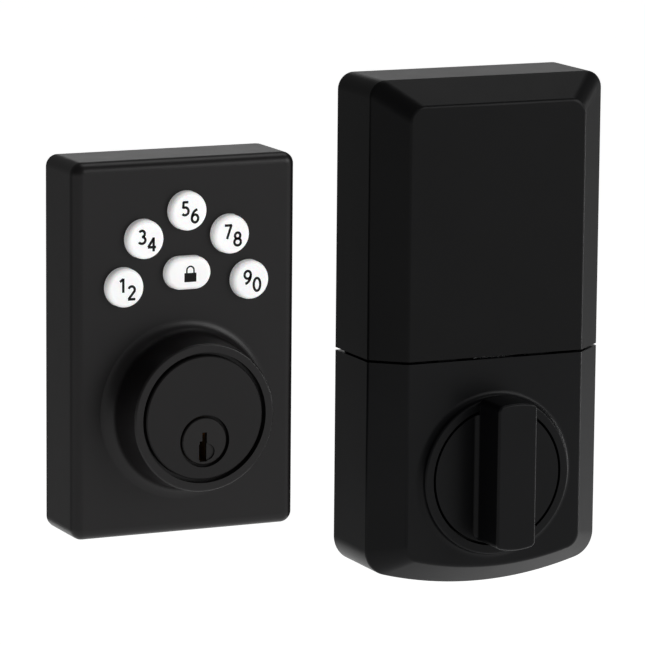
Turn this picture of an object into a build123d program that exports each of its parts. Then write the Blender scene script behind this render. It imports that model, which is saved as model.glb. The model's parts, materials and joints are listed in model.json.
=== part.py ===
"""Electronic keypad deadbolt: the keypad unit for the outside of a door and the thumb-turn unit for
the inside, side by side, with their backs on the plane y = 0 and their fronts facing -Y.
Millimetres, +Z up.  The origin is the thumb-turn's axis where it meets the door."""
import os
from math import acos, atan2, cos, pi, radians, sin, sqrt, tan

from build123d import *

os.makedirs("parts", exist_ok=True)

# Door preparation, shared by both units
bolt_spacing = 38.0          # between the two through-bolts, left and right of the lock's axis
bolt_hole_r = 2.5
bolt_head_clear_r = 5.5
post_thread_r = 2.1

# Fits
thread_gap = 0.05            # screw shank to its threaded hole
slip_gap = 0.05              # turning fits
seat_gap = 0.1               # parts that drop into a seat
cover_gap = 0.2              # around covers and boards

# Exterior unit
ext_x = -94.4
ext_width = 68.5
ext_height = 108.5
ext_bottom = -11.2
ext_depth = 21.6
ext_corner = 3.4
ext_front_round = 3.0
ext_wall = 2.0
ext_front_wall = 2.2
gasket_thick = 1.0
gasket_width = 2.4
plate_thick = 1.5
plate_boss_r = 2.6
ext_harness_place = (14.0, 17.0)     # from the plug's axis

barrel_z = 25.0
barrel_root_r = 22.7
barrel_front_r = 21.3
barrel_front = 35.9
barrel_root_round = 3.8
barrel_edge_round = 0.6
groove_width = 1.05
groove_deep = 2.4

# Key cylinder
face_r = 17.8
face_thick = 5.8
plug_drop = 6.75             # plug axis below the cylinder face's centre
plug_head_r = 6.8
plug_head_thick = 1.6
plug_head_gap = 0.75
plug_r = 6.35
shell_r = 10.5
bible_width = 9.0
bible_height = 17.0          # above the plug's axis
cylinder_back = 6.0
ear_thick = 2.0
ear_height = 10.0
pin_r = 1.45
pin_pitch = 3.9
first_pin_depth = 27.6
key_cuts = (1.2, -0.4, 0.6, -1.0, 0.2)
driver_length = 5.0
cap_thick = 1.0
keyway_top = 2.5
keyway_bottom = 5.9
keyway_narrow = 1.4
keyway_left = 1.5
keyway_right = 0.75
keyway_end = 9.0
dish_width = 6.2
dish_height = 5.2
dish_deep = 0.5
tail_stub_r = 4.9
tail_groove_r = 4.2
tail_width = 6.6
tail_thick = 2.4
tail_reach = 50.0            # behind the door plane
post_r = 4.0
post_front = 13.0

# Keypad
keypad_z = 64.6              # lock button's centre
button_r = 5.6
button_gap = 0.15
button_flange = 0.9
button_spare = 1.8           # least room between two flanges
button_pitch = 2 * (button_r + button_flange) + button_spare
side_low = (1.304 * button_pitch, -0.209 * button_pitch)    # from the lock button's centre
side_high = (0.892 * button_pitch, 0.703 * button_pitch)
top_rise = 1.203 * button_pitch
button_flange_thick = 1.2
button_front = 24.2
button_round = 1.2
button_travel = 1.2
lock_button_width = 13.8
lock_button_height = 9.4
membrane_thick = 1.0
membrane_back = 14.4
dome_r = 3.0
dome_gap = 0.3               # from a fully pressed button to its dome
board_thick = 1.6
keypad_board_back = 12.0
keypad_board_low = 18.4      # its lower edge, under the lock button's centre
keypad_boss_r = 2.3
membrane_margin = 0.4
membrane_skirt = 2.1
led_size = (1.6, 0.8, 0.6)

# Batteries and electronics
cell_r = 7.25
cell_length = 50.5
cell_spare = 0.1             # between two cells
cell_pitch = 2 * cell_r + cell_spare
cell_low = 50.2
cell_nub_r = 2.75
cell_nub = 1.4
holder_back = 9.2
holder_base = 2.0
holder_half = 1.5 * cell_pitch + cell_r + 1.85
holder_wall = 1.0
holder_end = 1.5
holder_room = 2.4            # for the contacts, at each end of the cells
holder_screw_x = 1.5 * cell_pitch + 5.9
cell_seat = 0.55             # under each cell
cell_depth = holder_back + holder_base + cell_seat + cell_r
contact_thick = 0.4
control_board_back = 5.9
control_board_half = 24.8
control_board_low = 42.5

# Interior unit, its covers drawn around the battery holder
cover_side_room = 6.5
int_half = holder_half + cover_side_room
int_top = 116.8
int_low = -33.6
int_arc_r = 115.0
int_top_round = 5.0
int_low_round = 8.0
int_wall = 2.0
cell_front_room = 2.5
shoulder_depth = 22.6
flat_depth = cell_depth + cell_r + cell_front_room + int_wall
bevel_run = 9.3
flat_half = int_half - bevel_run
flat_top = 109.7
flat_low = -27.3
flat_arc_r = 95.0
flat_round = 4.8
cover_back = 0.3
seam_z = 35.0
seam_gap = 0.75
cover_edge_round = 1.3
cover_tab_width = 6.0

collar_root_r = 23.7
collar_front_r = 23.3
collar_front = flat_depth + 2.3
collar_root_round = 1.8
collar_edge_round = 0.6
disc_r = 20.0
disc_gap = 0.75
disc_back = collar_front - 4.7
cup_floor = 1.6
cup_gap = 0.4
journal_r = 9.0
journal_back = disc_back - 4.4
grip_half = 6.3
grip_front = collar_front + 12.9
grip_top = 24.0
grip_low = 19.7
grip_foot_round = 1.5
grip_edge_round = 0.8
grip_corner_round = 1.8
grip_blank_half = 20.0       # half width of the shape that rounds both ends of the grip
grip_clear = 0.8             # between the grip's overhang and the collar
spindle_size = 7.0

mount_plate_thick = 2.0
mount_plate_half = 28.8
mount_plate_top = 106.0
mount_plate_low = -24.5
chassis_thick = 1.5
rail_height = 5.5
rail_thick = 1.5
harness_slot = (9.0, 6.0)
harness_place = (19.5, -13.5)

# Gear train
module = 0.8
pressure_angle = 25.0
backlash = 0.2
centre_play = 0.05
main_teeth = 45
pinion_teeth = 12
wheel_teeth = 36
main_back = 5.5
gear_thick = 4.0
wheel_back = 10.0
wheel_thick = 2.5
reduction_angle = 125.0      # direction from the main gear to the reduction gear
motor_angle = 23.0           # direction from the reduction gear to the motor
axle_r = 1.5
hub_r = 6.0
hub_back = 0.8
hub_square = 12.0
hub_tube_r = 6.9
hub_front = journal_back - 2.6
hub_collar_r = 9.5
hub_collar_thick = 0.8
bush_r = 8.5
bush_flange_r = 10.0
bush_flange_thick = 1.0
gearbox_cover_back = 13.0
gearbox_cover_thick = 1.2
gearbox_pillar_r = 2.5
motor_r = 12.0
motor_length = 10.0
motor_boss_r = 4.0
motor_shaft_r = 1.0

ext_mid_z = ext_bottom + ext_height / 2
ext_half = ext_width / 2
ext_top = ext_bottom + ext_height
cavity_front = ext_depth - ext_front_wall
cavity_half = ext_half - ext_wall
plug_z = barrel_z - plug_drop
plate_front = gasket_thick + plate_thick
plug_front = barrel_front - seat_gap
plug_shoulder = plug_front - plug_head_thick
chassis_back = mount_plate_thick
chassis_front = chassis_back + chassis_thick
gearbox_cover_front = gearbox_cover_back + gearbox_cover_thick


def facing(depth, x=0.0, z=0.0):
    """Plane parallel to the door, a depth in front of it; sketches on it extrude to the front."""
    return Plane(origin=(x, -depth, z), x_dir=(1, 0, 0), z_dir=(0, -1, 0))


def radial(x, z):
    """Plane through a front-to-back axis: local x is the radius and local y is minus the depth."""
    return Plane(origin=(x, 0, z), x_dir=(1, 0, 0), z_dir=(0, 0, 1))


def depth_axis(x, z):
    return Axis((x, 0, z), (0, 1, 0))


def screw(x, z, seat, tip, shank_r, head_r, head_thick):
    """Pan-head screw with a cross recess; its head stands off the seat, away from its tip."""
    out = 1 if seat > tip else -1
    with BuildPart() as made:
        with BuildSketch(facing(seat, x, z)):
            Circle(head_r)
        extrude(amount=out * head_thick)
        end_face = made.faces().sort_by(Axis.Y)[0 if out > 0 else -1]
        fillet(end_face.edges(), head_thick * 0.3)
        with BuildSketch(facing(seat, x, z)):
            Circle(shank_r)
        extrude(amount=tip - seat)
        with BuildSketch(facing(seat + out * head_thick, x, z)):
            Rectangle(head_r * 1.1, head_r * 0.26)
            Rectangle(head_r * 0.26, head_r * 1.1)
        extrude(amount=-out * head_thick * 0.55, mode=Mode.SUBTRACT)
    return made.part


def gear(teeth, back, thick, x, z, tooth_angle):
    """Involute spur gear with one tooth's middle pointing along tooth_angle."""
    pitch_r = module * teeth / 2
    pressure = radians(pressure_angle)
    base_r = pitch_r * cos(pressure)
    tip_r = pitch_r + 0.9 * module
    root_r = pitch_r - 1.25 * module
    half_tooth = (pi * module / 2 - backlash) / (2 * pitch_r) + tan(pressure) - pressure

    def flank(radius):
        roll = acos(base_r / radius)
        angle = half_tooth - tan(roll) + roll
        return radius * cos(angle), radius * sin(angle)

    start_r = max(base_r, root_r) + 0.01
    flank_points = [flank(start_r + (tip_r - start_r) * step / 3) for step in range(4)]
    start_angle = atan2(flank_points[0][1], flank_points[0][0])
    foot = (root_r * 0.9 * cos(start_angle), root_r * 0.9 * sin(start_angle))
    with BuildSketch(mode=Mode.PRIVATE) as tooth:
        with BuildLine():
            Line(foot, flank_points[0])
            Spline(*flank_points)
            Line(flank_points[-1], (flank_points[-1][0], -flank_points[-1][1]))
            Spline(*[(px, -py) for px, py in reversed(flank_points)])
            Line((flank_points[0][0], -flank_points[0][1]), (foot[0], -foot[1]))
            Line((foot[0], -foot[1]), foot)
        make_face()
    with BuildPart() as made:
        with BuildSketch(facing(back, x, z)):
            Circle(root_r)
            with PolarLocations(0, teeth, tooth_angle):
                add(tooth.sketch)
        extrude(amount=thick)
    return made.part


def cover_outline(depth, half, top, low, arc_r, top_round, low_round):
    """Straight top and sides over a gently bowed bottom, with round corners."""
    with BuildSketch(facing(depth)) as made:
        with Locations((0, (top + low) / 2)):
            Rectangle(2 * half, top - low)
        with Locations((0, low + arc_r)):
            Circle(arc_r, mode=Mode.INTERSECT)
        corners = made.vertices().sort_by(Axis.Y)
        fillet(corners[-2:], top_round)
        fillet(made.vertices().sort_by(Axis.Y)[:2], low_round)
    return made.sketch


def side_outline(depth, inset):
    return cover_outline(depth, int_half - inset, int_top - inset, int_low + inset,
                         int_arc_r - inset, int_top_round - inset, int_low_round - inset)


def flat_outline(depth, inset):
    return cover_outline(depth, flat_half - inset, flat_top - inset, flat_low + inset,
                         flat_arc_r - inset, flat_round - inset, flat_round - inset)


def cover_block(side_inset, flat_inset, back, shoulder, front):
    """Upright side walls up to the shoulder, then wide bevels up to the front flat."""
    with BuildPart() as made:
        shoulder_face = side_outline(shoulder, side_inset).face()
        extrude(shoulder_face, amount=back - shoulder)
        loft(sections=[shoulder_face, flat_outline(front, flat_inset).face()])
    return made.part


bevel_slope = (int_half - flat_half) / (flat_depth - shoulder_depth)
bevel_stretch = sqrt(1 + bevel_slope ** 2)
inner_flat_depth = flat_depth - int_wall
inner_flat_inset = int_wall * (bevel_stretch - bevel_slope)
inner_shoulder = shoulder_depth - int_wall * (bevel_stretch - 1) / bevel_slope
outer_block = cover_block(0, 0, cover_back, shoulder_depth, flat_depth)
inner_block = cover_block(int_wall, inner_flat_inset, cover_back - 1, inner_shoulder, inner_flat_depth)

# ---------------------------------------------------------------- exterior unit
plate_screw_x = cavity_half - 3.3
plate_screw_places = [(side * plate_screw_x, z) for side in (-1, 1)
                      for z in (ext_bottom + 6.0, barrel_z + 17.4, ext_top - 5.0)]
keypad_boss_x = cavity_half - 2.6
keypad_boss_places = [(side * keypad_boss_x, keypad_z + rise) for side in (-1, 1)
                      for rise in (-15.2, 18.8)]
ear_screw_x = face_r + seat_gap + 2.3
digit_buttons = {
    "button_12": (-side_low[0], side_low[1]),
    "button_34": (-side_high[0], side_high[1]),
    "button_56": (0.0, top_rise),
    "button_78": side_high,
    "button_90": side_low,
}
button_places = list(digit_buttons.values())
button_flange_front = cavity_front - seat_gap
button_flange_back = button_flange_front - button_flange_thick
dome_front = button_flange_back - button_travel - dome_gap
keypad_board_front = keypad_board_back + board_thick
screw_small = dict(shank_r=0.95, head_r=1.9, head_thick=1.2)
screw_medium = dict(shank_r=1.2, head_r=2.2, head_thick=0.8)

with BuildPart() as ext_escutcheon:
    with BuildSketch(facing(gasket_thick, ext_x, ext_mid_z)):
        RectangleRounded(ext_width, ext_height, ext_corner)
    extrude(amount=ext_depth - gasket_thick)
    fillet(ext_escutcheon.faces().sort_by(Axis.Y)[0].edges(), ext_front_round)
    with BuildSketch(radial(ext_x, barrel_z)):
        with BuildLine():
            Polyline((0, -ext_depth + 1), (barrel_root_r, -ext_depth + 1), (barrel_root_r, -ext_depth),
                     (barrel_front_r, -barrel_front), (0, -barrel_front), close=True)
        make_face()
    revolve(axis=depth_axis(ext_x, barrel_z))
    rings = ext_escutcheon.edges().filter_by(GeomType.CIRCLE)
    fillet(rings.filter_by(lambda e: abs(e.radius - barrel_root_r) < 0.01), barrel_root_round)
    rings = ext_escutcheon.edges().filter_by(GeomType.CIRCLE)
    fillet(rings.filter_by(lambda e: abs(e.radius - barrel_front_r) < 0.01), barrel_edge_round)
    with BuildSketch(facing(gasket_thick, ext_x, ext_mid_z)):
        RectangleRounded(2 * cavity_half, ext_height - 2 * ext_wall, ext_corner - ext_wall)
    extrude(amount=cavity_front - gasket_thick, mode=Mode.SUBTRACT)
    with BuildSketch(facing(plate_front, ext_x)):
        with Locations(*plate_screw_places):
            Circle(plate_boss_r)
    extrude(amount=cavity_front - plate_front)
    with BuildSketch(facing(keypad_board_front, ext_x)):
        with Locations(*keypad_boss_places):
            Circle(keypad_boss_r)
    extrude(amount=cavity_front - keypad_board_front)
    with BuildSketch(facing(plate_front, ext_x)):
        with Locations(*plate_screw_places):
            Circle(screw_medium["shank_r"] + thread_gap)
    extrude(amount=8.0, mode=Mode.SUBTRACT)
    with BuildSketch(facing(keypad_board_front, ext_x)):
        with Locations(*keypad_boss_places):
            Circle(screw_small["shank_r"] + thread_gap)
    extrude(amount=5.2, mode=Mode.SUBTRACT)
    with BuildSketch(facing(cavity_front, ext_x, barrel_z)):
        Circle(face_r + seat_gap)
    extrude(amount=barrel_front - cavity_front, mode=Mode.SUBTRACT)
    with BuildSketch(facing(barrel_front - groove_deep, ext_x, barrel_z)):
        Circle(face_r + groove_width)
    extrude(amount=groove_deep, mode=Mode.SUBTRACT)
    with BuildSketch(facing(cavity_front, ext_x, barrel_z)):
        with Locations((-ear_screw_x, 0), (ear_screw_x, 0)):
            Circle(screw_medium["shank_r"] + thread_gap)
    extrude(amount=6.0, mode=Mode.SUBTRACT)
    with BuildSketch(facing(cavity_front, ext_x, keypad_z)):
        with Locations(*button_places):
            Circle(button_r + button_gap)
        SlotOverall(lock_button_width + 2 * button_gap, lock_button_height + 2 * button_gap)
    extrude(amount=ext_front_wall, mode=Mode.SUBTRACT)
ext_escutcheon.part.label = "ext_escutcheon"
export_step(ext_escutcheon.part, "parts/ext_escutcheon.step")

with BuildPart() as ext_gasket:
    with BuildSketch(facing(0, ext_x, ext_mid_z)):
        RectangleRounded(ext_width - 0.2, ext_height - 0.2, ext_corner)
        RectangleRounded(ext_width - 2 * gasket_width, ext_height - 2 * gasket_width, 1.0,
                         mode=Mode.SUBTRACT)
    extrude(amount=gasket_thick)
ext_gasket.part.label = "ext_gasket"
export_step(ext_gasket.part, "parts/ext_gasket.step")

post_places = [(-bolt_spacing / 2, plug_z), (bolt_spacing / 2, plug_z)]
with BuildPart() as ext_back_plate:
    with BuildSketch(facing(gasket_thick, ext_x)):
        with Locations((0, ext_mid_z)):
            RectangleRounded(2 * (cavity_half - cover_gap), ext_height - 2 * (ext_wall + cover_gap), 0.8)
        with Locations((0, plug_z)):
            Circle(shell_r - 1.5, mode=Mode.SUBTRACT)
        with Locations(*post_places):
            Circle(post_r - 1.0, mode=Mode.SUBTRACT)
        with Locations((ext_harness_place[0], plug_z + ext_harness_place[1])):
            SlotOverall(*harness_slot, mode=Mode.SUBTRACT)
        with Locations(*plate_screw_places):
            Circle(screw_medium["shank_r"] + 0.15, mode=Mode.SUBTRACT)
    extrude(amount=plate_thick)
ext_back_plate.part.label = "ext_back_plate"
export_step(ext_back_plate.part, "parts/ext_back_plate.step")

with BuildPart() as ext_plate_screws:
    for place_x, place_z in plate_screw_places:
        add(screw(ext_x + place_x, place_z, gasket_thick, gasket_thick + 8.0, **screw_medium))
ext_plate_screws.part.label = "ext_plate_screws"
export_step(ext_plate_screws.part, "parts/ext_plate_screws.step")

with BuildPart() as mounting_posts:
    with BuildSketch(facing(plate_front, ext_x)):
        with Locations(*post_places):
            Circle(post_r)
    extrude(amount=post_front - plate_front)
    with BuildSketch(facing(gasket_thick, ext_x)):
        with Locations(*post_places):
            Circle(post_r - 1.0 - thread_gap)
    extrude(amount=plate_thick)
    with BuildSketch(facing(gasket_thick, ext_x)):
        with Locations(*post_places):
            Circle(post_thread_r)
    extrude(amount=post_front - gasket_thick - 1.0, mode=Mode.SUBTRACT)
mounting_posts.part.label = "mounting_posts"
export_step(mounting_posts.part, "parts/mounting_posts.step")

# Key cylinder
pin_depths = [first_pin_depth - pin_pitch * place for place in range(len(key_cuts))]
pin_hole_r = pin_r + slip_gap
cylinder_slot_back = barrel_front - face_thick
shear_z = plug_r + slip_gap + 0.05
ear_back = cavity_front - ear_thick

with BuildPart() as cylinder_body:
    with BuildSketch(facing(cylinder_slot_back, ext_x, barrel_z)):
        Circle(face_r)
    extrude(amount=face_thick)
    chamfer(cylinder_body.faces().sort_by(Axis.Y)[0].edges(), 0.35)
    with BuildSketch(facing(cylinder_back, ext_x, plug_z)):
        Circle(shell_r)
        with Locations((0, bible_height / 2)):
            Rectangle(bible_width, bible_height)
    extrude(amount=cylinder_slot_back - cylinder_back)
    with BuildSketch(facing(ear_back, ext_x, barrel_z)):
        SlotOverall(2 * ear_screw_x + 6.4, ear_height)
    extrude(amount=ear_thick)
    with BuildSketch(facing(cylinder_back, ext_x, plug_z)):
        Circle(plug_r + slip_gap)
    extrude(amount=barrel_front - cylinder_back, mode=Mode.SUBTRACT)
    with BuildSketch(facing(plug_shoulder - seat_gap, ext_x, plug_z)):
        Circle(plug_head_r + plug_head_gap)
    extrude(amount=barrel_front - plug_shoulder + seat_gap, mode=Mode.SUBTRACT)
    with BuildSketch(Plane.XY.offset(plug_z)):
        with Locations(*[(ext_x, -depth) for depth in pin_depths]):
            Circle(pin_hole_r)
    extrude(amount=bible_height, mode=Mode.SUBTRACT)
    with BuildSketch(facing(ear_back, ext_x, barrel_z)):
        with Locations((-ear_screw_x, 0), (ear_screw_x, 0)):
            Circle(screw_medium["shank_r"] + 0.15)
    extrude(amount=ear_thick, mode=Mode.SUBTRACT)
cylinder_body.part.label = "cylinder_body"
export_step(cylinder_body.part, "parts/cylinder_body.step")

with BuildPart() as cylinder_screws:
    for side in (-1, 1):
        add(screw(ext_x + side * ear_screw_x, barrel_z, ear_back, cavity_front + 5.0, **screw_medium))
cylinder_screws.part.label = "cylinder_screws"
export_step(cylinder_screws.part, "parts/cylinder_screws.step")

with BuildPart() as key_plug:
    with BuildSketch(facing(cylinder_back, ext_x, plug_z)):
        Circle(plug_r)
    extrude(amount=plug_shoulder - cylinder_back)
    with BuildSketch(facing(plug_shoulder, ext_x, plug_z)):
        Circle(plug_head_r)
    extrude(amount=plug_head_thick)
    chamfer(key_plug.faces().sort_by(Axis.Y)[0].edges(), 0.3)
    with BuildSketch(facing(cylinder_back - 2.8, ext_x, plug_z)):
        Circle(tail_stub_r)
    extrude(amount=2.8)
    with BuildSketch(facing(cylinder_back - 1.4, ext_x, plug_z)):
        Circle(tail_stub_r)
        Circle(tail_groove_r, mode=Mode.SUBTRACT)
    extrude(amount=0.8, mode=Mode.SUBTRACT)
    with BuildSketch(facing(plug_front - dish_deep, ext_x, plug_z)):
        with Locations((0, -dish_height * 0.6)):
            Ellipse(dish_width / 2, dish_height / 2)
    extrude(amount=dish_deep, mode=Mode.SUBTRACT)
    with BuildSketch(facing(keyway_end, ext_x, plug_z)):
        with Locations((0, (keyway_top - 1) / 2)):
            Rectangle(keyway_narrow, keyway_top + 1)
        with Locations(((keyway_right - keyway_left) / 2, -keyway_bottom / 2)):
            Rectangle(keyway_left + keyway_right, keyway_bottom)
    extrude(amount=plug_front - keyway_end, mode=Mode.SUBTRACT)
    with BuildSketch(Plane.XY.offset(plug_z + min(key_cuts) - 0.4)):
        with Locations(*[(ext_x, -depth) for depth in pin_depths]):
            Circle(pin_hole_r)
    extrude(amount=plug_r - min(key_cuts) + 0.4, mode=Mode.SUBTRACT)
    with BuildSketch(facing(cylinder_back - 2.8, ext_x, plug_z)):
        Rectangle(tail_thick + 0.1, tail_width + 0.1)
    extrude(amount=keyway_end - 0.8 - cylinder_back + 2.8, mode=Mode.SUBTRACT)
key_plug.part.label = "key_plug"
export_step(key_plug.part, "parts/key_plug.step")

with BuildPart() as key_pins:
    for depth, cut in zip(pin_depths, key_cuts):
        with BuildSketch(Plane.XY.offset(plug_z + cut)):
            with Locations((ext_x, -depth)):
                Circle(pin_r)
        extrude(amount=sqrt(plug_r ** 2 - pin_r ** 2) - 0.02 - cut)
key_pins.part.label = "key_pins"
export_step(key_pins.part, "parts/key_pins.step")

with BuildPart() as driver_pins:
    with BuildSketch(Plane.XY.offset(plug_z + shear_z)):
        with Locations(*[(ext_x, -depth) for depth in pin_depths]):
            Circle(pin_r)
    extrude(amount=driver_length)
driver_pins.part.label = "driver_pins"
export_step(driver_pins.part, "parts/driver_pins.step")

with BuildPart() as pin_springs:
    with BuildSketch(Plane.XY.offset(plug_z + shear_z + driver_length)):
        with Locations(*[(ext_x, -depth) for depth in pin_depths]):
            Circle(pin_r - 0.15)
            Circle(pin_r - 0.55, mode=Mode.SUBTRACT)
    extrude(amount=bible_height - shear_z - driver_length)
pin_springs.part.label = "pin_springs"
export_step(pin_springs.part, "parts/pin_springs.step")

with BuildPart() as pin_chamber_cap:
    with BuildSketch(facing(cylinder_back + 1.0, ext_x, plug_z + bible_height + cap_thick / 2)):
        Rectangle(bible_width - 1.0, cap_thick)
    extrude(amount=cylinder_slot_back - cylinder_back - 1.0)
pin_chamber_cap.part.label = "pin_chamber_cap"
export_step(pin_chamber_cap.part, "parts/pin_chamber_cap.step")

with BuildPart() as tailpiece:
    with BuildSketch(facing(-tail_reach, ext_x, plug_z)):
        Rectangle(tail_thick, tail_width)
    extrude(amount=tail_reach + keyway_end - 0.8)
    chamfer(tailpiece.faces().sort_by(Axis.Y)[-1].edges(), 0.6)
tailpiece.part.label = "tailpiece"
export_step(tailpiece.part, "parts/tailpiece.step")

with BuildPart() as plug_clip:
    with BuildSketch(facing(cylinder_back - 1.3, ext_x, plug_z)):
        Circle(plug_r + 1.2)
        Circle(tail_groove_r + slip_gap, mode=Mode.SUBTRACT)
        with Locations((0, -plug_r)):
            Rectangle(2.4, 2 * plug_r - 2, mode=Mode.SUBTRACT)
    extrude(amount=0.6)
plug_clip.part.label = "plug_clip"
export_step(plug_clip.part, "parts/plug_clip.step")

# Keypad
for button_name, (place_x, rise) in digit_buttons.items():
    with BuildPart() as digit_button:
        with BuildSketch(facing(button_flange_back, ext_x + place_x, keypad_z + rise)):
            Circle(button_r)
        extrude(amount=button_front - button_flange_back)
        fillet(digit_button.faces().sort_by(Axis.Y)[0].edges(), button_round)
        with BuildSketch(facing(button_flange_back, ext_x + place_x, keypad_z + rise)):
            Circle(button_r + button_flange)
        extrude(amount=button_flange_thick)
    digit_button.part.label = button_name
    export_step(digit_button.part, f"parts/{button_name}.step")

with BuildPart() as button_lock:
    with BuildSketch(facing(button_flange_back, ext_x, keypad_z)):
        SlotOverall(lock_button_width, lock_button_height)
    extrude(amount=button_front - button_flange_back)
    fillet(button_lock.faces().sort_by(Axis.Y)[0].edges(), button_round)
    with BuildSketch(facing(button_flange_back, ext_x, keypad_z)):
        SlotOverall(lock_button_width + 2 * button_flange - 0.6,
                    lock_button_height + 2 * button_flange - 0.6)
    extrude(amount=button_flange_thick)
button_lock.part.label = "button_lock"
export_step(button_lock.part, "parts/button_lock.step")

membrane_low = keypad_z + side_low[1] - button_r - membrane_skirt
membrane_height = keypad_z + top_rise + button_r + membrane_margin - membrane_low
membrane_width = 2 * (side_low[0] + button_r + membrane_margin)
with BuildPart() as keypad_membrane:
    with BuildSketch(facing(keypad_board_front, ext_x, membrane_low + membrane_height / 2)):
        RectangleRounded(membrane_width, membrane_height, 3)
    extrude(amount=membrane_back + membrane_thick - keypad_board_front)
    with BuildSketch(facing(keypad_board_front, ext_x, membrane_low + membrane_height / 2)):
        RectangleRounded(membrane_width - 2.4, membrane_height - 2.4, 1.8)
    extrude(amount=membrane_back - keypad_board_front, mode=Mode.SUBTRACT)
    with BuildSketch(facing(keypad_board_front, ext_x)):
        with Locations(*keypad_boss_places):
            Circle(keypad_boss_r + membrane_margin)
    extrude(amount=membrane_back + membrane_thick - keypad_board_front, mode=Mode.SUBTRACT)
    with BuildSketch(facing(membrane_back + membrane_thick, ext_x, keypad_z)):
        with Locations((0, 0), *button_places):
            Circle(dome_r)
    extrude(amount=dome_front - membrane_back - membrane_thick, taper=25)
keypad_membrane.part.label = "keypad_membrane"
export_step(keypad_membrane.part, "parts/keypad_membrane.step")

board_low = keypad_z - keypad_board_low
board_high = keypad_z + top_rise + button_r + 0.6
with BuildPart() as keypad_board:
    with BuildSketch(facing(keypad_board_back, ext_x)):
        with Locations((0, (board_low + board_high) / 2)):
            Rectangle(2 * (cavity_half - 0.5), board_high - board_low)
        with Locations(*keypad_boss_places):
            Circle(screw_small["shank_r"] + 0.15, mode=Mode.SUBTRACT)
    extrude(amount=board_thick)
keypad_board.part.label = "keypad_board"
export_step(keypad_board.part, "parts/keypad_board.step")

with BuildPart() as keypad_leds:
    with BuildSketch(facing(keypad_board_front, ext_x, keypad_z)):
        for place_x, rise in [(0.0, 0.0)] + button_places:
            with Locations((place_x - 4.4, rise), (place_x + 4.4, rise)):
                Rectangle(led_size[1], led_size[0])
    extrude(amount=led_size[2])
keypad_leds.part.label = "keypad_leds"
export_step(keypad_leds.part, "parts/keypad_leds.step")

with BuildPart() as keypad_screws:
    for place_x, place_z in keypad_boss_places:
        add(screw(ext_x + place_x, place_z, keypad_board_back, keypad_board_front + 4.8, **screw_small))
keypad_screws.part.label = "keypad_screws"
export_step(keypad_screws.part, "parts/keypad_screws.step")

with BuildPart() as keypad_connector:
    with BuildSketch(facing(keypad_board_back - 4.0, ext_x + 12.0, board_low + 5.0)):
        Rectangle(11.0, 6.0)
        Rectangle(9.0, 4.0, mode=Mode.SUBTRACT)
    extrude(amount=4.0)
    with BuildSketch(facing(keypad_board_back - 1.0, ext_x + 12.0, board_low + 5.0)):
        Rectangle(10.0, 5.0)
    extrude(amount=1.0)
keypad_connector.part.label = "keypad_connector"
export_step(keypad_connector.part, "parts/keypad_connector.step")

# ---------------------------------------------------------------- interior unit: covers
bolt_places = [(-bolt_spacing / 2, 0), (bolt_spacing / 2, 0)]
cover_boss_inset = 5.9
cover_boss_places = [(side * (int_half - across), z) for side in (-1, 1)
                     for across, z in ((cover_boss_inset, seam_z - 4.0), (6.2, int_low + 12.6))]
cover_boss_r = 2.6
cover_boss_front = shoulder_depth + (cover_boss_inset - cover_boss_r) / bevel_slope - 0.8
cup_back = disc_back - cup_gap - cup_floor
bore_r = disc_r + disc_gap

with BuildPart() as lower_cover:
    add(outer_block)
    soft_edges = lower_cover.edges().filter_by(lambda e: e.bounding_box().size.Y < 0.01)
    soft_edges = soft_edges.filter_by(lambda e: e.center().Y < -shoulder_depth + 0.01)
    fillet(soft_edges, cover_edge_round)
    with BuildSketch(radial(0, 0)):
        with BuildLine():
            Polyline((0, 1 - flat_depth), (collar_root_r, 1 - flat_depth), (collar_root_r, -flat_depth),
                     (collar_front_r, -collar_front), (0, -collar_front), close=True)
        make_face()
    revolve(axis=depth_axis(0, 0))
    rings = lower_cover.edges().filter_by(GeomType.CIRCLE)
    fillet(rings.filter_by(lambda e: abs(e.radius - collar_root_r) < 0.01), collar_root_round)
    rings = lower_cover.edges().filter_by(GeomType.CIRCLE)
    fillet(rings.filter_by(lambda e: abs(e.radius - collar_front_r) < 0.01), collar_edge_round)
    add(inner_block, mode=Mode.SUBTRACT)
    with BuildSketch(facing(cup_back)):
        Circle(bore_r + int_wall)
    extrude(amount=inner_flat_depth - cup_back)
    with BuildSketch(facing(chassis_front)):
        with Locations(*cover_boss_places):
            Circle(cover_boss_r)
    extrude(amount=cover_boss_front - chassis_front)
    with BuildSketch(facing(cup_back + cup_floor)):
        Circle(bore_r)
    extrude(amount=collar_front - cup_back - cup_floor, mode=Mode.SUBTRACT)
    with BuildSketch(facing(cup_back)):
        Circle(journal_r + slip_gap)
    extrude(amount=cup_floor, mode=Mode.SUBTRACT)
    with BuildSketch(facing(chassis_front)):
        with Locations(*cover_boss_places):
            Circle(screw_medium["shank_r"] + thread_gap)
    extrude(amount=8.5, mode=Mode.SUBTRACT)
    split(bisect_by=Plane.XY.offset(seam_z - seam_gap / 2), keep=Keep.BOTTOM)
lower_cover.part.label = "lower_cover"
export_step(lower_cover.part, "parts/lower_cover.step")

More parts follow.
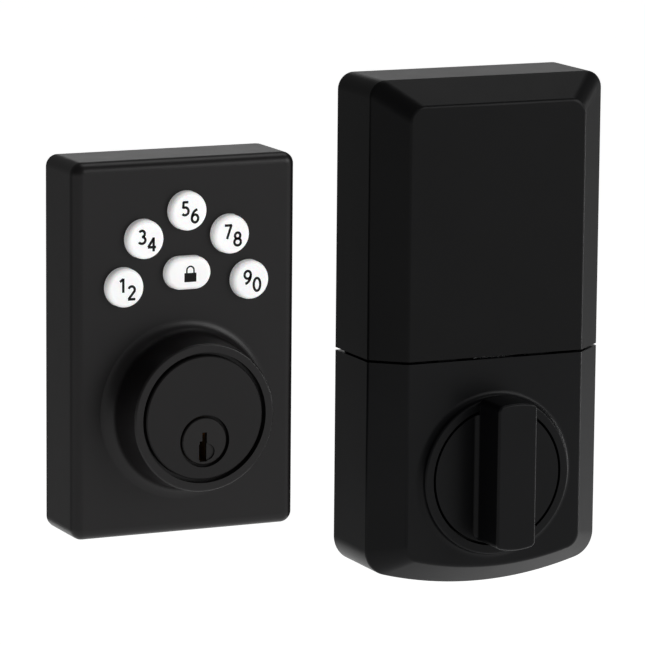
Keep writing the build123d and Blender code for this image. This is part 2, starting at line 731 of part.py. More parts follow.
tab_places = [(-cell_pitch, 0), (cell_pitch, 0)]
with BuildPart() as battery_cover:
    add(outer_block)
    soft_edges = battery_cover.edges().filter_by(lambda e: e.bounding_box().size.Y < 0.01)
    soft_edges = soft_edges.filter_by(lambda e: e.center().Y < -shoulder_depth + 0.01)
    fillet(soft_edges, cover_edge_round)
    add(inner_block, mode=Mode.SUBTRACT)
    split(bisect_by=Plane.XY.offset(seam_z + seam_gap / 2), keep=Keep.TOP)
    with BuildSketch(facing(inner_flat_depth - cover_gap - 1.4, 0, seam_z)):
        with Locations(*tab_places):
            Rectangle(cover_tab_width, 7.0)
    extrude(amount=1.4)
    with BuildSketch(facing(inner_flat_depth - cover_gap, 0, seam_z + 2.5)):
        with Locations(*tab_places):
            Rectangle(cover_tab_width, 2.0)
    extrude(amount=cover_gap)
battery_cover.part.label = "battery_cover"
export_step(battery_cover.part, "parts/battery_cover.step")

# ---------------------------------------------------------------- interior unit: plate and chassis
chassis_screw_places = [(-25.5, seam_z + 6.5), (25.5, seam_z + 6.5),
                        (-20.0, mount_plate_low + 4.5), (20.0, mount_plate_low + 4.5)]
screw_large = dict(shank_r=1.4, head_r=2.6, head_thick=1.4)

with BuildPart() as mounting_plate:
    with BuildSketch(facing(0)):
        with Locations((0, (mount_plate_top + mount_plate_low) / 2)):
            RectangleRounded(2 * mount_plate_half, mount_plate_top - mount_plate_low, 5)
        Circle(bush_r + 1.0, mode=Mode.SUBTRACT)
        with Locations(*bolt_places):
            Circle(bolt_hole_r, mode=Mode.SUBTRACT)
        with Locations(*chassis_screw_places):
            Circle(screw_large["shank_r"] + thread_gap, mode=Mode.SUBTRACT)
        with Locations(harness_place):
            SlotOverall(*harness_slot, mode=Mode.SUBTRACT)
        with Locations((0, 60), (0, 85)):
            SlotOverall(30, 12, mode=Mode.SUBTRACT)
    extrude(amount=mount_plate_thick)
mounting_plate.part.label = "mounting_plate"
export_step(mounting_plate.part, "parts/mounting_plate.step")

pitch_sum = module * (main_teeth + pinion_teeth) / 2 + centre_play
reduction_x = pitch_sum * cos(radians(reduction_angle))
reduction_z = pitch_sum * sin(radians(reduction_angle))
motor_distance = module * (wheel_teeth + pinion_teeth) / 2 + centre_play
motor_x = reduction_x + motor_distance * cos(radians(motor_angle))
motor_z = reduction_z + motor_distance * sin(radians(motor_angle))
pillar_places = [(-25.5, -7.0), (24.0, 12.0), (-16.0, 37.2), (17.0, 37.2)]
board_screw_places = [(side * (control_board_half - 3.0), z) for side in (-1, 1) for z in (53.0, 100.0)]
holder_screw_places = [(side * holder_screw_x, z) for side in (-1, 1) for z in (54.0, 99.0)]
chassis_half = int_half - int_wall - cover_gap

with BuildPart() as chassis:
    extrude(side_outline(chassis_back, int_wall + cover_gap).face(), amount=chassis_thick)
    with BuildSketch(facing(chassis_back)):
        Circle(bush_r + 0.02)
        with Locations(*bolt_places):
            Circle(bolt_head_clear_r)
        with Locations(harness_place):
            SlotOverall(*harness_slot)
        with Locations(*cover_boss_places):
            Circle(screw_medium["shank_r"] + 0.15)
        with Locations(*chassis_screw_places):
            Circle(screw_large["shank_r"] + 0.2)
        with Locations((reduction_x, reduction_z)):
            Circle(axle_r + 0.02)
    extrude(amount=chassis_thick, mode=Mode.SUBTRACT)
    with BuildSketch(facing(chassis_front)):
        with Locations(*pillar_places):
            Circle(gearbox_pillar_r)
            Circle(screw_small["shank_r"] + thread_gap, mode=Mode.SUBTRACT)
    extrude(amount=gearbox_cover_back - chassis_front)
    with BuildSketch(facing(chassis_front)):
        with Locations(*board_screw_places):
            Circle(2.2)
            Circle(screw_small["shank_r"] + thread_gap, mode=Mode.SUBTRACT)
    extrude(amount=control_board_back - chassis_front)
    with BuildSketch(facing(chassis_front)):
        with Locations(*holder_screw_places):
            Circle(2.4)
            Circle(screw_small["shank_r"] + thread_gap, mode=Mode.SUBTRACT)
    extrude(amount=holder_back - chassis_front)
    with BuildSketch(facing(chassis_front)):
        with Locations((reduction_x, reduction_z)):
            Circle(axle_r + 1.6)
            Circle(axle_r + 0.02, mode=Mode.SUBTRACT)
    extrude(amount=main_back - 0.3 - chassis_front)
    with BuildSketch(facing(chassis_front, 0, (seam_z + int_top) / 2 - 2.0)):
        with Locations((-chassis_half + rail_thick / 2, 0), (chassis_half - rail_thick / 2, 0)):
            Rectangle(rail_thick, int_top - seam_z - 16.0)
    extrude(amount=rail_height)
chassis.part.label = "chassis"
export_step(chassis.part, "parts/chassis.step")

with BuildPart() as chassis_screws:
    for place_x, place_z in chassis_screw_places:
        add(screw(place_x, place_z, chassis_front, cover_gap, **screw_large))
chassis_screws.part.label = "chassis_screws"
export_step(chassis_screws.part, "parts/chassis_screws.step")

with BuildPart() as cover_screws:
    for place_x, place_z in cover_boss_places:
        add(screw(place_x, place_z, chassis_back, chassis_front + 7.5, **screw_medium))
cover_screws.part.label = "cover_screws"
export_step(cover_screws.part, "parts/cover_screws.step")

# ---------------------------------------------------------------- interior unit: gear train
hub_collar_back = main_back - hub_collar_thick
with BuildPart() as hub_bushing:
    with BuildSketch(facing(chassis_back)):
        Circle(bush_r)
    extrude(amount=chassis_thick)
    with BuildSketch(facing(chassis_front)):
        Circle(bush_flange_r)
    extrude(amount=bush_flange_thick)
    with BuildSketch(facing(chassis_back)):
        Circle(hub_r + slip_gap)
    extrude(amount=chassis_thick + bush_flange_thick, mode=Mode.SUBTRACT)
hub_bushing.part.label = "hub_bushing"
export_step(hub_bushing.part, "parts/hub_bushing.step")

socket_back = main_back + gear_thick - 0.5
with BuildPart() as drive_hub:
    with BuildSketch(facing(hub_back)):
        Circle(hub_r)
    extrude(amount=hub_collar_back - hub_back)
    with BuildSketch(facing(hub_collar_back)):
        Circle(hub_collar_r)
    extrude(amount=hub_collar_thick)
    with BuildSketch(facing(main_back)):
        Rectangle(hub_square, hub_square)
    extrude(amount=gear_thick)
    with BuildSketch(facing(main_back + gear_thick)):
        Circle(hub_tube_r)
    extrude(amount=hub_front - main_back - gear_thick)
    with BuildSketch(facing(socket_back)):
        Rectangle(spindle_size + 0.2, spindle_size + 0.2)
    extrude(amount=hub_front - socket_back, mode=Mode.SUBTRACT)
    with BuildSketch(facing(hub_back)):
        Rectangle(tail_thick + 0.4, tail_width + 0.4)
    extrude(amount=socket_back - 1.0 - hub_back, mode=Mode.SUBTRACT)
drive_hub.part.label = "drive_hub"
export_step(drive_hub.part, "parts/drive_hub.step")

with BuildPart() as main_gear:
    add(gear(main_teeth, main_back, gear_thick, 0, 0, reduction_angle))
    with BuildSketch(facing(main_back)):
        Rectangle(hub_square + 0.06, hub_square + 0.06)
        with PolarLocations(12.6, 6, 30):
            Circle(2.4)
    extrude(amount=gear_thick, mode=Mode.SUBTRACT)
main_gear.part.label = "main_gear"
export_step(main_gear.part, "parts/main_gear.step")

with BuildPart() as reduction_gear:
    add(gear(pinion_teeth, main_back, wheel_back - main_back, reduction_x, reduction_z,
             reduction_angle + 180 + 180 / pinion_teeth))
    add(gear(wheel_teeth, wheel_back, wheel_thick, reduction_x, reduction_z, motor_angle))
    with BuildSketch(facing(main_back, reduction_x, reduction_z)):
        Circle(axle_r + slip_gap)
    extrude(amount=wheel_back + wheel_thick - main_back, mode=Mode.SUBTRACT)
reduction_gear.part.label = "reduction_gear"
export_step(reduction_gear.part, "parts/reduction_gear.step")

with BuildPart() as gear_axle:
    with BuildSketch(facing(chassis_back, reduction_x, reduction_z)):
        Circle(axle_r)
    extrude(amount=gearbox_cover_front - chassis_back)
gear_axle.part.label = "gear_axle"
export_step(gear_axle.part, "parts/gear_axle.step")

with BuildPart() as motor_pinion:
    add(gear(pinion_teeth, wheel_back - 0.1, wheel_thick + 0.2, motor_x, motor_z,
             motor_angle + 180 + 180 / pinion_teeth))
    with BuildSketch(facing(wheel_back - 0.1, motor_x, motor_z)):
        Circle(motor_shaft_r + 0.01)
    extrude(amount=wheel_thick + 0.2, mode=Mode.SUBTRACT)
motor_pinion.part.label = "motor_pinion"
export_step(motor_pinion.part, "parts/motor_pinion.step")

with BuildPart() as motor_shaft:
    with BuildSketch(facing(wheel_back - 0.1, motor_x, motor_z)):
        Circle(motor_shaft_r)
    extrude(amount=gearbox_cover_front + 3.0 - wheel_back)
motor_shaft.part.label = "motor_shaft"
export_step(motor_shaft.part, "parts/motor_shaft.step")

with BuildPart() as motor:
    with BuildSketch(facing(gearbox_cover_front, motor_x, motor_z)):
        Circle(motor_r)
    extrude(amount=motor_length)
    fillet(motor.faces().sort_by(Axis.Y)[0].edges(), 1.2)
    with BuildSketch(facing(gearbox_cover_back, motor_x, motor_z)):
        Circle(motor_boss_r)
    extrude(amount=gearbox_cover_thick)
    with BuildSketch(facing(gearbox_cover_back, motor_x, motor_z)):
        Circle(motor_shaft_r + slip_gap)
    extrude(amount=gearbox_cover_thick + 4.0, mode=Mode.SUBTRACT)
motor.part.label = "motor"
export_step(motor.part, "parts/motor.step")

gearbox_left, gearbox_right = pillar_places[0][0] - 3.0, pillar_places[1][0] + 3.0
gearbox_low, gearbox_high = pillar_places[0][1] - 3.3, pillar_places[2][1] + 3.3
with BuildPart() as gearbox_cover:
    with BuildSketch(facing(gearbox_cover_back)):
        with Locations(((gearbox_left + gearbox_right) / 2, (gearbox_low + gearbox_high) / 2)):
            RectangleRounded(gearbox_right - gearbox_left, gearbox_high - gearbox_low, 3)
        Circle(hub_tube_r + 1.3, mode=Mode.SUBTRACT)
        with Locations((reduction_x, reduction_z)):
            Circle(axle_r + 0.02, mode=Mode.SUBTRACT)
        with Locations((motor_x, motor_z)):
            Circle(motor_boss_r + 0.1, mode=Mode.SUBTRACT)
        with Locations(*pillar_places):
            Circle(screw_small["shank_r"] + 0.15, mode=Mode.SUBTRACT)
    extrude(amount=gearbox_cover_thick)
    with BuildSketch(facing(gearbox_cover_front, motor_x, motor_z)):
        Circle(motor_r + seat_gap + 1.2)
        Circle(motor_r + seat_gap, mode=Mode.SUBTRACT)
    extrude(amount=5.0)
gearbox_cover.part.label = "gearbox_cover"
export_step(gearbox_cover.part, "parts/gearbox_cover.step")

with BuildPart() as gearbox_screws:
    for place_x, place_z in pillar_places:
        add(screw(place_x, place_z, gearbox_cover_front, chassis_front + 4.0, **screw_small))
gearbox_screws.part.label = "gearbox_screws"
export_step(gearbox_screws.part, "parts/gearbox_screws.step")

with BuildPart() as position_switches:
    with BuildSketch(facing(chassis_front)):
        with Locations((-10.5, -23.4), (10.5, -23.4)):
            Rectangle(8.2, 5.6)
    extrude(amount=4.0)
    with BuildSketch(facing(chassis_front + 1.2)):
        with Locations((-10.5, -20.2), (10.5, -20.2)):
            Rectangle(2.0, 0.9)
    extrude(amount=1.6)
position_switches.part.label = "position_switches"
export_step(position_switches.part, "parts/position_switches.step")

# ---------------------------------------------------------------- interior unit: thumb-turn
foot_half = grip_half + grip_foot_round
grip_blank_rise = sqrt(grip_top ** 2 - grip_blank_half ** 2)
with BuildPart() as turnpiece:
    with BuildSketch(Plane.XY.offset(-grip_top - 5)):
        with BuildLine():
            Line((-foot_half, -collar_front), (foot_half, -collar_front))
            RadiusArc((foot_half, -collar_front), (grip_half, -collar_front - grip_foot_round),
                      -grip_foot_round)
            Polyline((grip_half, -collar_front - grip_foot_round), (grip_half, -grip_front),
                     (-grip_half, -grip_front), (-grip_half, -collar_front - grip_foot_round))
            RadiusArc((-grip_half, -collar_front - grip_foot_round), (-foot_half, -collar_front),
                      -grip_foot_round)
        make_face()
    extrude(amount=2 * grip_top + 10)
    with BuildSketch(facing(collar_front)):
        with BuildLine():
            ThreePointArc((-grip_blank_half, grip_blank_rise), (0, grip_top),
                          (grip_blank_half, grip_blank_rise))
            Line((grip_blank_half, grip_blank_rise), (grip_low, 0))
            ThreePointArc((grip_low, 0), (0, -grip_low), (-grip_low, 0))
            Line((-grip_low, 0), (-grip_blank_half, grip_blank_rise))
        make_face()
    extrude(amount=grip_front - collar_front, mode=Mode.INTERSECT)
    end_corners = turnpiece.edges().filter_by(Axis.Y)
    fillet(end_corners, grip_corner_round)
    fillet(turnpiece.faces().sort_by(Axis.Y)[0].edges(), grip_edge_round)
    with BuildSketch(facing(collar_front)):
        Circle(grip_top + 5)
        Circle(disc_r - 0.1, mode=Mode.SUBTRACT)
    extrude(amount=grip_clear, mode=Mode.SUBTRACT)
    with BuildSketch(facing(disc_back)):
        Circle(disc_r)
    extrude(amount=collar_front - disc_back)
    with BuildSketch(facing(journal_back)):
        Circle(journal_r)
    extrude(amount=disc_back - journal_back)
    with BuildSketch(facing(journal_back + 1.0)):
        Circle(journal_r)
        Circle(journal_r - 0.8, mode=Mode.SUBTRACT)
    extrude(amount=0.8, mode=Mode.SUBTRACT)
    with BuildSketch(facing(socket_back + 0.5)):
        Rectangle(spindle_size, spindle_size)
    extrude(amount=journal_back - socket_back - 0.5)
turnpiece.part.label = "turnpiece"
export_step(turnpiece.part, "parts/turnpiece.step")

with BuildPart() as turnpiece_clip:
    with BuildSketch(facing(journal_back + 1.1)):
        Circle(journal_r + 1.8)
        Circle(journal_r - 0.8 + slip_gap, mode=Mode.SUBTRACT)
        with Locations((0, -journal_r)):
            Rectangle(3.0, journal_r, mode=Mode.SUBTRACT)
    extrude(amount=0.6)
turnpiece_clip.part.label = "turnpiece_clip"
export_step(turnpiece_clip.part, "parts/turnpiece_clip.step")

# ---------------------------------------------------------------- interior unit: electronics
control_board_top = holder_screw_places[1][1] + 5.0
control_board_front = control_board_back + board_thick
with BuildPart() as control_board:
    with BuildSketch(facing(control_board_back)):
        with Locations((0, (control_board_low + control_board_top) / 2)):
            Rectangle(2 * control_board_half, control_board_top - control_board_low)
        with Locations(*board_screw_places):
            Circle(screw_small["shank_r"] + 0.15, mode=Mode.SUBTRACT)
    extrude(amount=board_thick)
control_board.part.label = "control_board"
export_step(control_board.part, "parts/control_board.step")

with BuildPart() as board_screws:
    for place_x, place_z in board_screw_places:
        add(screw(place_x, place_z, control_board_front, chassis_front + 0.2, **screw_small))
board_screws.part.label = "board_screws"
export_step(board_screws.part, "parts/board_screws.step")

with BuildPart() as board_chips:
    with BuildSketch(facing(control_board_front)):
        with Locations((0, 74)):
            Rectangle(9, 9)
        with Locations((-14, 84), (14, 66)):
            Rectangle(5, 4)
        with Locations((-9, 60), (-3, 60), (3, 60), (9, 60), (-9, 90), (-3, 90), (3, 90), (9, 90)):
            Rectangle(2.0, 1.2)
    extrude(amount=1.2)
board_chips.part.label = "board_chips"
export_step(board_chips.part, "parts/board_chips.step")

with BuildPart() as harness_socket:
    with BuildSketch(facing(control_board_front, -10.0, control_board_low + 1.5)):
        Rectangle(12.0, 2.6)
    extrude(amount=4.6)
    with BuildSketch(facing(control_board_front + 1.2, -10.0, control_board_low + 1.5)):
        Rectangle(10.4, 1.4)
    extrude(amount=3.4, mode=Mode.SUBTRACT)
harness_socket.part.label = "harness_socket"
export_step(harness_socket.part, "parts/harness_socket.step")

with BuildPart() as program_switch:
    with BuildSketch(facing(control_board_front, 12.0, control_board_low + 1.6)):
        Rectangle(4.5, 3.0)
    extrude(amount=3.0)
    with BuildSketch(facing(control_board_front + 1.5, 12.0, control_board_low + 1.6)):
        Circle(1.0)
    extrude(amount=1.5, mode=Mode.SUBTRACT)
program_switch.part.label = "program_switch"
export_step(program_switch.part, "parts/program_switch.step")

with BuildPart() as program_button:
    with BuildSketch(facing(control_board_front + 2.1, 12.0, control_board_low + 1.6)):
        Circle(0.95)
    extrude(amount=2.4)
program_button.part.label = "program_button"
export_step(program_button.part, "parts/program_button.step")

# ---------------------------------------------------------------- interior unit: batteries
cell_high = cell_low + cell_length
holder_low = cell_low - holder_room - holder_end
holder_high = cell_high + holder_room + holder_end
holder_front = holder_back + holder_base
cell_xs = [cell_pitch * (place - 1.5) for place in range(4)]
wall_top = cell_depth - 2.0
with BuildPart() as battery_holder:
    with BuildSketch(facing(holder_back, 0, (holder_low + holder_high) / 2)):
        RectangleRounded(2 * holder_half, holder_high - holder_low, 1)
    extrude(amount=wall_top - holder_back)
    with BuildSketch(facing(holder_front, 0, (holder_low + holder_high) / 2)):
        Rectangle(2 * (holder_half - holder_wall), holder_high - holder_low - 2 * holder_end)
    extrude(amount=wall_top - holder_front, mode=Mode.SUBTRACT)
    with BuildSketch(facing(wall_top)):
        for z in (holder_low + holder_end / 2, holder_high - holder_end / 2):
            with Locations((0, z)):
                Rectangle(4 * cell_pitch, holder_end)
    extrude(amount=5.0)
    with BuildSketch(facing(holder_front, 0, (cell_low + cell_high) / 2)):
        with Locations((-cell_pitch, 0), (0, 0), (cell_pitch, 0)):
            Rectangle(1.8, cell_length - 8)
    extrude(amount=3.2)
    with BuildSketch(facing(holder_back)):
        with Locations(*holder_screw_places):
            Circle(screw_small["shank_r"] + 0.15)
    extrude(amount=holder_base, mode=Mode.SUBTRACT)
battery_holder.part.label = "battery_holder"
export_step(battery_holder.part, "parts/battery_holder.step")

with BuildPart() as holder_screws:
    for place_x, place_z in holder_screw_places:
        add(screw(place_x, place_z, holder_front, chassis_front + 0.5, **screw_small))
holder_screws.part.label = "holder_screws"
export_step(holder_screws.part, "parts/holder_screws.step")

for place, cell_x in enumerate(cell_xs):
    nub_up = place % 2 == 0
    body_low = cell_low if nub_up else cell_low + cell_nub
    nub_low = cell_high - cell_nub if nub_up else cell_low
    with BuildPart() as battery:
        with BuildSketch(Plane.XY.offset(body_low)):
            with Locations((cell_x, -cell_depth)):
                Circle(cell_r)
        extrude(amount=cell_length - cell_nub)
        fillet(battery.edges().filter_by(GeomType.CIRCLE), 0.5)
        with BuildSketch(Plane.XY.offset(nub_low)):
            with Locations((cell_x, -cell_depth)):
                Circle(cell_nub_r)
        extrude(amount=cell_nub)
    battery.part.label = f"battery_{place + 1}"
    export_step(battery.part, f"parts/battery_{place + 1}.step")

contact_size = (9.0, 10.0)
contact_room_low = holder_low + holder_end
contact_room_high = holder_high - holder_end
with BuildPart() as battery_springs:
    for place, cell_x in enumerate(cell_xs):
        nub_up = place % 2 == 0
        wall_z = contact_room_low if nub_up else contact_room_high
        inward = 1 if nub_up else -1
        with BuildSketch(Plane.XY.offset(wall_z)):
            with Locations((cell_x, -cell_depth)):
                Rectangle(*contact_size)
        extrude(amount=inward * contact_thick)
        with BuildSketch(Plane.XY.offset(wall_z + inward * contact_thick)):
            with Locations((cell_x, -cell_depth)):
                Circle(4.0)
                Circle(3.2, mode=Mode.SUBTRACT)
        extrude(amount=inward * (holder_room - contact_thick), taper=20)
battery_springs.part.label = "battery_springs"
export_step(battery_springs.part, "parts/battery_springs.step")

with BuildPart() as battery_plates:
    for place, cell_x in enumerate(cell_xs):
        nub_up = place % 2 == 0
        wall_z = contact_room_high if nub_up else contact_room_low
        inward = -1 if nub_up else 1
        with BuildSketch(Plane.XY.offset(wall_z)):
            with Locations((cell_x, -cell_depth)):
                Rectangle(*contact_size)
        extrude(amount=inward * contact_thick)
        with BuildSketch(Plane.XY.offset(wall_z + inward * contact_thick)):
            with Locations((cell_x, -cell_depth)):
                Circle(2.4)
        extrude(amount=inward * (holder_room - contact_thick))
battery_plates.part.label = "battery_plates"
export_step(battery_plates.part, "parts/battery_plates.step")
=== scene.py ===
"""Looks for the keypad deadbolt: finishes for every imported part, the legends on the buttons, the cells and
springs behind the battery cover, and a plain studio."""
import json
import math

import bmesh
import bpy
from mathutils import Euler, Matrix, Vector


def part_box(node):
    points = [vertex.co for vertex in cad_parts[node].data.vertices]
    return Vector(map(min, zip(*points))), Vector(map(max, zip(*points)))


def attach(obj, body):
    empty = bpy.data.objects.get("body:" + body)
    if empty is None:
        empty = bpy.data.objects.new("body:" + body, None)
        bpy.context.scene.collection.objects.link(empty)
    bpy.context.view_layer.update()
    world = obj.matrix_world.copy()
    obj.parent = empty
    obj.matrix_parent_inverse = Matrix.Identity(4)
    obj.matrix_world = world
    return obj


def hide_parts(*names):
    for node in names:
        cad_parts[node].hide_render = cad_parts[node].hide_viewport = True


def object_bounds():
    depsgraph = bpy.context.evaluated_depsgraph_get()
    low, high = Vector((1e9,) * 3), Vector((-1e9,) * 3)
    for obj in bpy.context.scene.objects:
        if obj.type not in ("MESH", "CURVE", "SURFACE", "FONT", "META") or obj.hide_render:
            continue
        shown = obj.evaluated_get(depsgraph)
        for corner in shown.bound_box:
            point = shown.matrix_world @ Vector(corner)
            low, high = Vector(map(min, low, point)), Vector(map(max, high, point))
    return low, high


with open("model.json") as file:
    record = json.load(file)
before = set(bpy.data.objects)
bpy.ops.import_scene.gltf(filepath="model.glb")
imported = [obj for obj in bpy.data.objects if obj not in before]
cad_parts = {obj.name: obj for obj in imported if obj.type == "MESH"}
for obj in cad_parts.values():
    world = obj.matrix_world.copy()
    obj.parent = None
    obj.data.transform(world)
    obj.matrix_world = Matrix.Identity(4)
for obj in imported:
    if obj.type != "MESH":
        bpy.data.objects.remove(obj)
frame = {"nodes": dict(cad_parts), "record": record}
cad_low, cad_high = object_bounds()
MM = 0.001
FULL_TURN = 2 * math.pi
WHITE, BLACK = (1.0, 1.0, 1.0), (0.0, 0.0, 0.0)


# ------------------------------------------------------------------ nodes, for materials and for shapes
class Reading:
    """A socket that carries a value; arithmetic on it adds the Math nodes."""

    def __init__(self, graph, socket):
        self.graph = graph
        self.socket = socket

    def math(self, operation, *terms):
        return self.graph.node("ShaderNodeMath", {"operation": operation}, dict(enumerate(terms)))

    def __add__(self, other):
        return self.math("ADD", self, other)

    def __sub__(self, other):
        return self.math("SUBTRACT", self, other)

    def __rsub__(self, other):
        return self.math("SUBTRACT", other, self)

    def __mul__(self, other):
        return self.math("MULTIPLY", self, other)

    def __lt__(self, other):
        return self.math("LESS_THAN", self, other)

    def __gt__(self, other):
        return self.math("GREATER_THAN", self, other)

    __radd__ = __add__
    __rmul__ = __mul__


class Graph:
    """A node tree that grows one call at a time."""

    def __init__(self, tree):
        self.tree = tree

    def node(self, kind, settings=None, inputs=None, output=0):
        made = self.tree.nodes.new(kind)
        for key, value in (settings or {}).items():
            if key == "stops":
                for stop, (position, shade) in zip(made.color_ramp.elements, value):
                    stop.position = position
                    stop.color = (*shade, 1.0) if isinstance(shade, tuple) else (shade, shade, shade, 1.0)
            else:
                setattr(made, key, value)
        for key, value in (inputs or {}).items():
            if isinstance(value, Reading):
                self.tree.links.new(value.socket, made.inputs[key])
            else:
                made.inputs[key].default_value = value
        return Reading(self, made.outputs[output])


# ------------------------------------------------------------------ materials
class Finish(Graph):
    """A material with one Principled shader that reads patterns on Object coordinates."""

    def __init__(self, name, **constants):
        self.material = bpy.data.materials.new(name)
        self.material.use_nodes = True
        super().__init__(self.material.node_tree)
        self.shader = self.tree.nodes["Principled BSDF"]
        for socket_name, value in constants.items():
            self.shader.inputs[socket_name.replace("_", " ")].default_value = value
        self.place = self.node("ShaderNodeTexCoord", output="Object")

    def noise(self, scale, detail=2.0, roughness=0.5, stretch=None):
        place = self.place
        if stretch:
            place = self.node("ShaderNodeMapping", inputs={"Vector": place, "Scale": stretch})
        return self.node("ShaderNodeTexNoise",
                         inputs={"Vector": place, "Scale": scale, "Detail": detail, "Roughness": roughness})

    def axis(self, name):
        return self.node("ShaderNodeSeparateXYZ", inputs={"Vector": self.place}, output=name)

    def ramp(self, value, stops):
        return self.node("ShaderNodeValToRGB", {"stops": stops}, {"Fac": value})

    def clouded(self, value, shade, dark, light):
        """Colour that drifts between a darker and a lighter share of one shade."""
        deep, pale = (tuple(share * channel for channel in shade) for share in (dark, light))
        return self.ramp(value, [(0.3, deep), (0.7, pale)])

    def blend(self, share, first, second):
        """First colour where share is 0, second where it is 1."""
        colours = {0: share, 6: first, 7: second}
        full = {k: (*v, 1.0) if isinstance(v, tuple) else v for k, v in colours.items()}
        return self.node("ShaderNodeMix", {"data_type": "RGBA"}, full, output=2)

    def bump(self, height, distance):
        return self.node("ShaderNodeBump", inputs={"Height": height, "Distance": distance})

    def wear(self, **sockets):
        """Links readings to the shader's sockets and gives the material."""
        for socket_name, value in sockets.items():
            self.tree.links.new(value.socket, self.shader.inputs[socket_name.replace("_", " ")])
        return self.material


def satin_black(name, shade, roughness, gloss):
    """Satin paint: slight clouding, a soft orange peel and a finer powder grain."""
    finish = Finish(name, Specular_IOR_Level=gloss)
    powder = finish.noise(4200.0)
    peel = finish.noise(620.0)
    base = finish.clouded(finish.noise(45.0, 3.0), shade, 0.88, 1.12)
    rough = roughness - 0.05 + finish.noise(150.0) * 0.05 + powder * 0.05
    grain = finish.bump(powder * 0.3 + peel * 0.7, 0.009 * MM)
    return finish.wear(Base_Color=base, Roughness=rough, Normal=grain)


def painted_front(name, shade, gloss, face_y, metal):
    """Black paint on the face, bare cast or turned metal behind it and in whatever is cut through it."""
    finish = Finish(name, Specular_IOR_Level=gloss)
    bare = finish.axis("Y") > face_y
    lines = finish.noise(1500.0, 3.0, 0.6, (1.0, 0.15, 1.0))
    paint = finish.clouded(finish.noise(60.0, 3.0), shade, 0.88, 1.12)
    alloy = finish.clouded(finish.noise(110.0, 4.0), metal, 0.7, 1.0)
    rough = 0.40 + lines * 0.08 - bare * 0.12
    grain = finish.bump(lines * bare + finish.noise(620.0) * (1 - bare), 0.008 * MM)
    return finish.wear(Base_Color=finish.blend(bare, paint, alloy), Roughness=rough, Metallic=bare,
                       Normal=grain)


def brushed_metal(name, shade, roughness, stretch, tarnish=0.12):
    """Plated or turned metal with fine lines along one direction."""
    finish = Finish(name, Metallic=1.0)
    lines = finish.noise(1400.0, 3.0, 0.6, stretch)
    cloud = finish.noise(90.0, 4.0)
    rough = roughness + (lines - 0.5) * 0.16 + (cloud - 0.5) * 0.1
    return finish.wear(Base_Color=finish.clouded(cloud, shade, 1 - tarnish, 1.0), Roughness=rough,
                       Normal=finish.bump(lines, 0.012 * MM))


def moulded(name, shade, roughness, gloss=0.4, grain=0.01 * MM, seep=0.0, glow=0.0):
    """Moulded plastic or rubber: spark-eroded texture, faint flow clouds, and an even white emission that
    paints light on the part (painted glow).
    """
    # glow is a painted glow: an even white emission that makes the part shine though it is no lamp
    finish = Finish(name, Specular_IOR_Level=gloss, Subsurface_Weight=seep, Subsurface_Scale=0.6 * MM,
                    Emission_Color=(*WHITE, 1.0), Emission_Strength=glow)
    spark = finish.noise(3600.0, 3.0, 0.6)
    rough = roughness - 0.04 + spark * 0.08
    base = finish.clouded(finish.noise(120.0, 3.0), shade, 0.94, 1.0)
    return finish.wear(Base_Color=base, Roughness=rough, Normal=finish.bump(spark, grain))


def solder_mask(name):
    """Green board with tracks that show as a lighter, slightly raised green."""
    finish = Finish(name, Coat_Roughness=0.15)
    flat = finish.node("ShaderNodeCombineXYZ", inputs={"X": finish.axis("X"), "Y": finish.axis("Z")})
    lanes = finish.node("ShaderNodeTexBrick", {"offset": 0.5}, {
        "Vector": flat, "Scale": 260.0, "Color1": (0, 0, 0, 1), "Color2": (0.1, 0.1, 0.1, 1),
        "Mortar": (1, 1, 1, 1), "Mortar Size": 0.045, "Brick Width": 0.9, "Row Height": 0.31})
    track = finish.node("ShaderNodeRGBToBW", inputs={"Color": lanes})
    rough = 0.32 + finish.noise(400.0) * 0.1 - track * 0.05
    base = finish.blend(track, (0.012, 0.085, 0.035), (0.03, 0.17, 0.07))
    return finish.wear(Base_Color=base, Roughness=rough, Normal=finish.bump(track, 0.03 * MM))


def cell_sleeve(name, low, high):
    """Shrink sleeve on a cell: dark, with a lighter band round one third of its height."""
    finish = Finish(name, Specular_IOR_Level=0.5)
    share = (finish.axis("Z") - low) * (1 / (high - low))
    band = (share > 0.62) * (share < 0.94)
    base = finish.blend(band, finish.clouded(finish.noise(80.0), (0.016, 0.018, 0.022), 0.85, 1.1),
                        finish.clouded(finish.noise(80.0), (0.42, 0.20, 0.05), 0.9, 1.0))
    return finish.wear(Base_Color=base, Roughness=0.24 + finish.noise(300.0) * 0.12,
                       Normal=finish.bump(finish.noise(900.0), 0.01 * MM))


